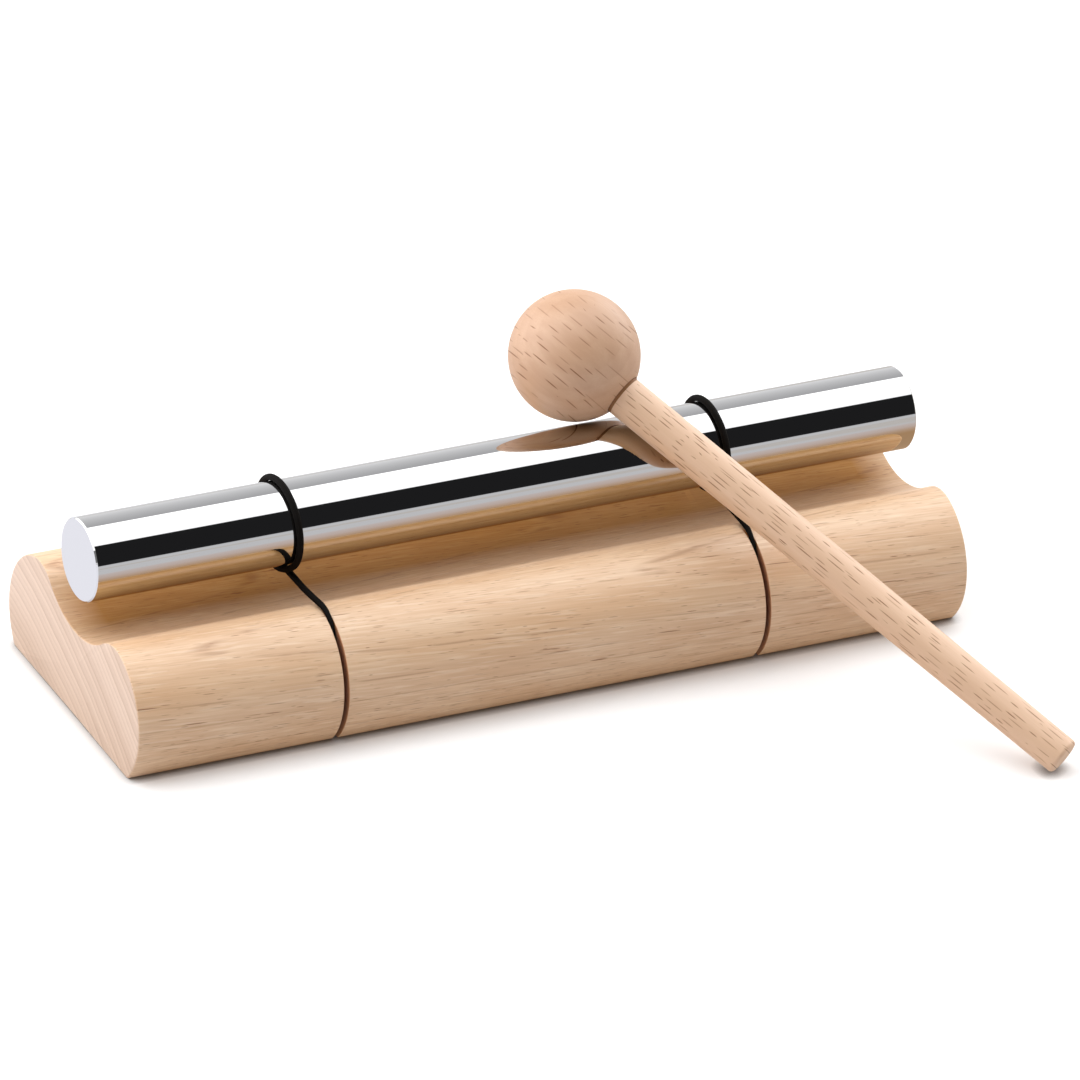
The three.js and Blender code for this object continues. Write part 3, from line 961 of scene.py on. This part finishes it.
def kerf_path(slip):
    """Round the base on the kerf's floor: arcs over the front shoulder, the two heels and the back
    shoulder, each at the floor's round plus the cord's own radius, with straight runs between. On the
    shoulders the cord still drifts over from where the slipped turn leaves it."""
    down = 1.5 * math.pi
    front_bank = math.pi - kerf_bank
    back_bank = 2 * math.pi + kerf_bank
    corners = [
        (-1, kerf_shoulder, math.pi / 2, front_bank, ridge_radius, kerf_radius),
        (-1, kerf_heel, front_bank, down, kerf_radius, kerf_radius),
        (1, kerf_heel, down, back_bank, kerf_radius, kerf_radius),
        (1, kerf_shoulder, back_bank, 2.5 * math.pi, kerf_radius, ridge_radius),
    ]
    share = np.linspace(0, 1, corner_steps)
    found = []
    for side, centre, start, end, start_radius, end_radius in corners:
        angle = start + (end - start) * share
        sunk = np.sin(math.pi / 2 * share) if side < 0 else 1 - np.cos(math.pi / 2 * share)
        radius = start_radius + (end_radius - start_radius) * sunk
        reach = kerf_floor_radius + seat_gap + radius
        y = side * centre[0] + reach * np.cos(angle)
        z = centre[1] + reach * np.sin(angle)
        beside = slip + (last_x if side < 0 else first_x)
        x = drift(beside, y) if centre is kerf_shoulder else np.zeros(corner_steps)
        found.append(np.stack([x, y, z, radius], 1))
    return np.concatenate(found)


def cord_tube(name, path, off):
    """A tube along a path of (x, y, z, radius), moved off along X: at each point a circle of that
    radius, square to the path, its first side kept towards the X axis. Its UV map has the length along
    in millimetres and the share of the turn around. A face that closes the turn has 1 for its last
    side's 0."""
    centre = path[:, :3] + np.array([off, 0, 0])
    along = np.gradient(centre, axis=0)
    along /= np.linalg.norm(along, axis=1)[:, None]
    across = np.array([1.0, 0, 0]) - along * along[:, :1]
    across /= np.linalg.norm(across, axis=1)[:, None]
    outward = np.cross(along, across)
    angle = np.linspace(0, 2 * math.pi, cord_sides, endpoint=False)
    turn = angle[None, :, None]
    circle = np.cos(turn) * across[:, None] + np.sin(turn) * outward[:, None]
    rings = centre[:, None] + path[:, 3][:, None, None] * circle
    piece = skin(name, rings, centre[0], centre[-1])

    gone = np.concatenate([[0], np.cumsum(np.linalg.norm(np.diff(centre, axis=0), axis=1))])
    point_along = np.concatenate([np.repeat(gone, cord_sides), [gone[0], gone[-1]]])
    point_around = np.concatenate([np.tile(angle, len(centre)), [0, 0]]) / (2 * math.pi)
    mesh = piece.data
    layer = mesh.uv_layers.new(name="along_cord")
    corner_point = np.empty(len(mesh.loops), int)
    first_corner = np.empty(len(mesh.polygons), int)
    corner_count = np.empty(len(mesh.polygons), int)
    mesh.loops.foreach_get("vertex_index", corner_point)
    mesh.polygons.foreach_get("loop_start", first_corner)
    mesh.polygons.foreach_get("loop_total", corner_count)
    u = point_along[corner_point] / mm
    v = point_around[corner_point]
    face_top = np.repeat(np.maximum.reduceat(v, first_corner), corner_count)
    v = np.where((face_top > seam_shares[1]) & (v < seam_shares[0]), v + 1, v)
    layer.data.foreach_set("uv", np.stack([u, v], 1).ravel())
    return piece


def elastic_material():
    """Black, with two sets of strands that wind opposite ways: the product of their sines is the
    braid's height. Dust greys its high places."""
    elastic, tree = new_material("black elastic")
    place_on = split(tree, place(tree, "UVMap", uv_map="along_cord").outputs[0])
    turn = times(tree, place_on["Y"], braid_strands * 2 * math.pi)
    run = times(tree, place_on["X"], braid_per_mm)
    lays = [work_out(tree, "SINE", work_out(tree, way, run, turn)) for way in ("ADD", "SUBTRACT")]
    height = graded(tree, times(tree, *lays), -1.0, 1.0)
    where = place(tree, "TexCoord").outputs["Object"]
    dust = noise_at(tree, where, dust_scale, dust_detail)
    finish_material(tree, height, braid_strength, braid_depth, {
        "Base Color": mixed(tree, times(tree, height, dust), elastic_colour, elastic_worn),
        "Roughness": graded(tree, dust, 0.0, 1.0, *elastic_roughness),
        "Specular IOR Level": elastic_sheen,
    })
    return elastic


elastic = elastic_material()
for side_name, off, slip in (("left", -kerf_from_middle, 0.0), ("right", kerf_from_middle, right_slip)):
    node = f"elastic_loop_{side_name}"
    turn = cord_tube(f"loop_turn_{side_name}", ring_path(slip), off)
    front = cord_tube(f"loop_front_strand_{side_name}", strand_path(-1, slip + last_x), off)
    back = cord_tube(f"loop_back_strand_{side_name}", strand_path(1, slip + first_x)[::-1], off)
    sunk = cord_tube(f"loop_in_kerf_{side_name}", kerf_path(slip), off)
    for piece in (turn, front, back, sunk):
        piece.data.materials.append(elastic)
        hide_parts(node)
    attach(turn, "sling")
    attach(sunk, "base")
    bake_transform(front)
    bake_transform(back)


# Mallet: a turned beech ball, bored and glued on a tapered beech handle. The ball leans on the rod
# from behind, and the handle crosses over the rod and stands with its tip on the table.

ball_diameter = 25 * mm
mallet_length = 132 * mm
neck_diameter = 8 * mm
tip_diameter = 7.3 * mm
tip_round = 0.8 * mm
bore_depth = 16 * mm
glue_gap = 0.1 * mm
bore_lip = 0.15 * mm
head_from_middle = 18.6 * mm
rest_gap = 0.3 * mm
floor_gap = 0.1 * mm
mallet_turn = math.radians(56.4)
rest_halvings = 40
ball_sides = 192
ball_rings = 96
handle_sides = 96
handle_rings = 24
tip_points = 9
sanded_off = 0.02 * mm

ball_radius = ball_diameter / 2
tip_distance = mallet_length - ball_radius
bore_radius = neck_diameter / 2 + glue_gap
mouth = math.sqrt(ball_radius**2 - bore_radius**2)
bore_floor = mouth - bore_depth


def handle_radius(distance):
    """From the neck's radius at the ball's mouth, evenly down to the tip's."""
    share = min(max((distance - mouth) / (tip_distance - mouth), 0), 1)
    return (neck_diameter + (tip_diameter - neck_diameter) * share) / 2


def resting_mallet(angle):
    """The ball's centre and the handle's direction, for a ball this far behind the rod's top, and
    how far the handle then stays off the rod."""
    reach = rod_diameter / 2 + ball_radius + rest_gap
    ball_y = reach * math.sin(angle)
    ball_z = rod_height + reach * math.cos(angle)
    tip = tip_diameter / 2 - tip_round
    heel = tip_distance - tip_round
    drop = ball_z - floor_gap - tip_round
    tilt = math.asin(drop / math.hypot(heel, tip)) - math.atan2(tip, heel)
    along = (
        math.cos(tilt) * math.cos(mallet_turn),
        -math.cos(tilt) * math.sin(mallet_turn),
        -math.sin(tilt),
    )
    seen = math.hypot(along[1], along[2])
    passing = abs(ball_y * along[2] - (ball_z - rod_height) * along[1]) / seen
    level = -(ball_y * along[1] + (ball_z - rod_height) * along[2]) / seen**2
    clearance = passing - rod_diameter / 2 - handle_radius(level)
    return (head_from_middle, ball_y, ball_z), along, clearance


def find_rest():
    """Halves the angle behind the rod's top until the handle just clears the rod."""
    low, high = 0.0, math.pi / 2
    for _ in range(rest_halvings):
        middle = (low + high) / 2
        if resting_mallet(middle)[2] > rest_gap:
            low = middle
        else:
            high = middle
    return resting_mallet(low)


ball_centre, handle_way, _ = find_rest()


def ball_profile():
    """The bore's floor and wall, a small lip at its mouth, and the sphere round to the far pole."""
    first = math.atan2(bore_radius, mouth)
    lip = bore_lip / ball_radius
    angles = np.linspace(first + lip, math.pi, ball_rings, endpoint=False)
    radius = ball_radius - sanded_off
    sphere = [(radius * math.cos(a), radius * math.sin(a)) for a in angles]
    bore = [(end, bore_radius) for end in (bore_floor, mouth - 2 * bore_lip, mouth - bore_lip)]
    return (bore + sphere)[::-1]


def handle_profile():
    """A straight tapered dowel from the bore to the tip, and the tip's small round."""
    start = bore_floor + glue_gap
    end = tip_distance - sanded_off
    tip = tip_diameter / 2
    stops = [start, *np.linspace(mouth, end - tip_round, handle_rings)]
    profile = [(distance, handle_radius(distance)) for distance in stops]
    for angle in np.linspace(0, math.pi / 2, tip_points)[1:]:
        profile.append((
            end - tip_round * (1 - math.sin(angle)),
            tip - tip_round * (1 - math.cos(angle)),
        ))
    return profile


# Beech: an even pinkish ground with faint rings, and short dark ray flecks along the grain, which
# runs along the handle. A thin dark band, its glue line and painted shade in the joint, shows where
# the handle enters the ball. Streaks are given as (length, width, level, softness) and flecks as
# (cell, length, width).

beech_face = Vector((-0.42, -0.75, 0.51))
beech_ring_spacing = 2.2 * mm
beech_waviness = 0.8 * mm
beech_trunk_way = Vector((0, 0.4, 1))
beech_streaks = {
    "clouds": (40 * mm, 3 * mm, 0.35, 0.30),
    "fibres": (9 * mm, 0.28 * mm, 0.35, 0.35),
}
beech_ray_depth = 1000 * mm
beech_fleck = (0.21, 0.095, 0.045)
beech_tone_shares = {"Early wood": 0.3, "clouds": 0.6}
beech_fibre_share = 0.3
beech_fleck_share = 0.85
beech_flat_sides = (0.96, 0.8)
# Glue line and painted shade in the joint.
beech_glue_line_and_shade = (0.26, 0.12, 0.055)
beech_joint_shade_width = 0.16 * mm
beech_joint_shade_reach = 0.5 * mm
# Painted reflection shade: the beech's colour as the polished rod shows it, darker and warmer.
beech_painted_reflection_shade = (0.82, 0.68, 0.46)
beech_sheens = (0.8, 0.1)
beech_roughness = (0.42, 0.52)
beech_reliefs = {"fibres": -0.1, "flecks": -1.0}
beech_bump_strength = 0.3
beech_bump_depth = 0.1 * mm
ball_light = (0.57, 0.35, 0.22)
ball_warm = (0.49, 0.28, 0.165)
ball_trunk_off = 40 * mm
ball_flecks = ((5.6 * mm, 2.2 * mm, 1.0 * mm), 2.5 * mm, 0.135 * mm)
handle_light = (0.70, 0.465, 0.31)
handle_warm = (0.61, 0.385, 0.24)
handle_trunk_off = 25 * mm
handle_flecks = ((6.6 * mm, 1.0 * mm, 1.0 * mm), 2.4 * mm, 0.12 * mm)


def grain_turn():
    """The turn that lays X along the handle and brings Z, as far as that allows, to the side where
    the rays end in short flecks."""
    along = Vector(handle_way).normalized()
    outward = (beech_face - beech_face.dot(along) * along).normalized()
    sideways = outward.cross(along)
    return Matrix((along, sideways, outward)).transposed().to_euler()


def beech_joint_shade_mask(tree, along):
    """Glue line and painted shade: a fine band round the bore's edge, within a short reach of the
    ball's mouth.
    """
    past_mouth = work_out(tree, "SUBTRACT", split(tree, along)["X"], mouth)
    at_mouth = work_out(tree, "LESS_THAN", work_out(tree, "ABSOLUTE", past_mouth), beech_joint_shade_reach)
    joint_and_shade = graded(tree, off_x_axis(tree, along), bore_radius + beech_joint_shade_width, bore_radius)
    return times(tree, joint_and_shade, at_mouth)


def beech_material(name, light, warm, trunk_off, flecks):
    """Beech cut this far off its trunk's heart. The rays are sheets, so their flecks fade on the two
    sides where the sheets lie flat."""
    beech, tree = new_material(name)
    coordinates = place(tree, "TexCoord").outputs
    along = seen_from(tree, coordinates["Object"], grain_turn(), ball_centre)
    trunk = reckon(tree, "ADD", along, trunk_off * beech_trunk_way)
    rings = grouped(tree, growth_rings, trunk, Spacing=beech_ring_spacing, Waviness=beech_waviness)
    masks = {**rings, **streak_masks(tree, trunk, beech_streaks)}
    plain = mixed(tree, weighed(tree, masks, beech_tone_shares), light, warm)
    colour = mixed(tree, times(tree, masks["fibres"], beech_fibre_share), plain, warm)

    rays = spindle_mask(tree, reckon(tree, "MULTIPLY", along, (1, 1, 0)), *flecks, beech_ray_depth)
    facing = split(tree, seen_from(tree, coordinates["Normal"], grain_turn()))["Y"]
    cut_short = graded(tree, work_out(tree, "ABSOLUTE", facing), *beech_flat_sides)
    flecked = times(tree, rays, cut_short)
    # Glue line and painted shade in the joint where the handle enters the ball.
    joint_and_shade = beech_joint_shade_mask(tree, along)
    colour = mixed(tree, times(tree, flecked, beech_fleck_share), colour, beech_fleck)
    # Painted reflection shade where the rod mirrors the beech.
    colour = with_painted_reflection_shade(tree, mixed(tree, joint_and_shade, colour, beech_glue_line_and_shade), beech_painted_reflection_shade)

    dull = work_out(tree, "MAXIMUM", flecked, joint_and_shade)
    relief = weighed(tree, {"flecks": flecked, **masks}, beech_reliefs)
    finish_material(tree, relief, beech_bump_strength, beech_bump_depth, {
        "Base Color": colour,
        "Roughness": graded(tree, masks["fibres"], 0.0, 1.0, *beech_roughness),
        "Specular IOR Level": graded(tree, dull, 0.0, 1.0, *beech_sheens),
    })
    return beech


beech_ball = turned(
    "beech_ball", ball_centre, handle_way, ball_profile(), ball_sides, -ball_radius, bore_floor
)
beech_ball.data.materials.append(
    beech_material("beech ball", ball_light, ball_warm, ball_trunk_off, ball_flecks)
)
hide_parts("mallet_head")
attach(beech_ball, "mallet")

beech_handle = turned(
    "beech_handle", ball_centre, handle_way, handle_profile(), handle_sides,
    bore_floor + glue_gap, tip_distance - sanded_off,
)
beech_handle.data.materials.append(
    beech_material("beech handle", handle_light, handle_warm, handle_trunk_off, handle_flecks)
)
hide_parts("mallet_handle")
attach(beech_handle, "mallet")
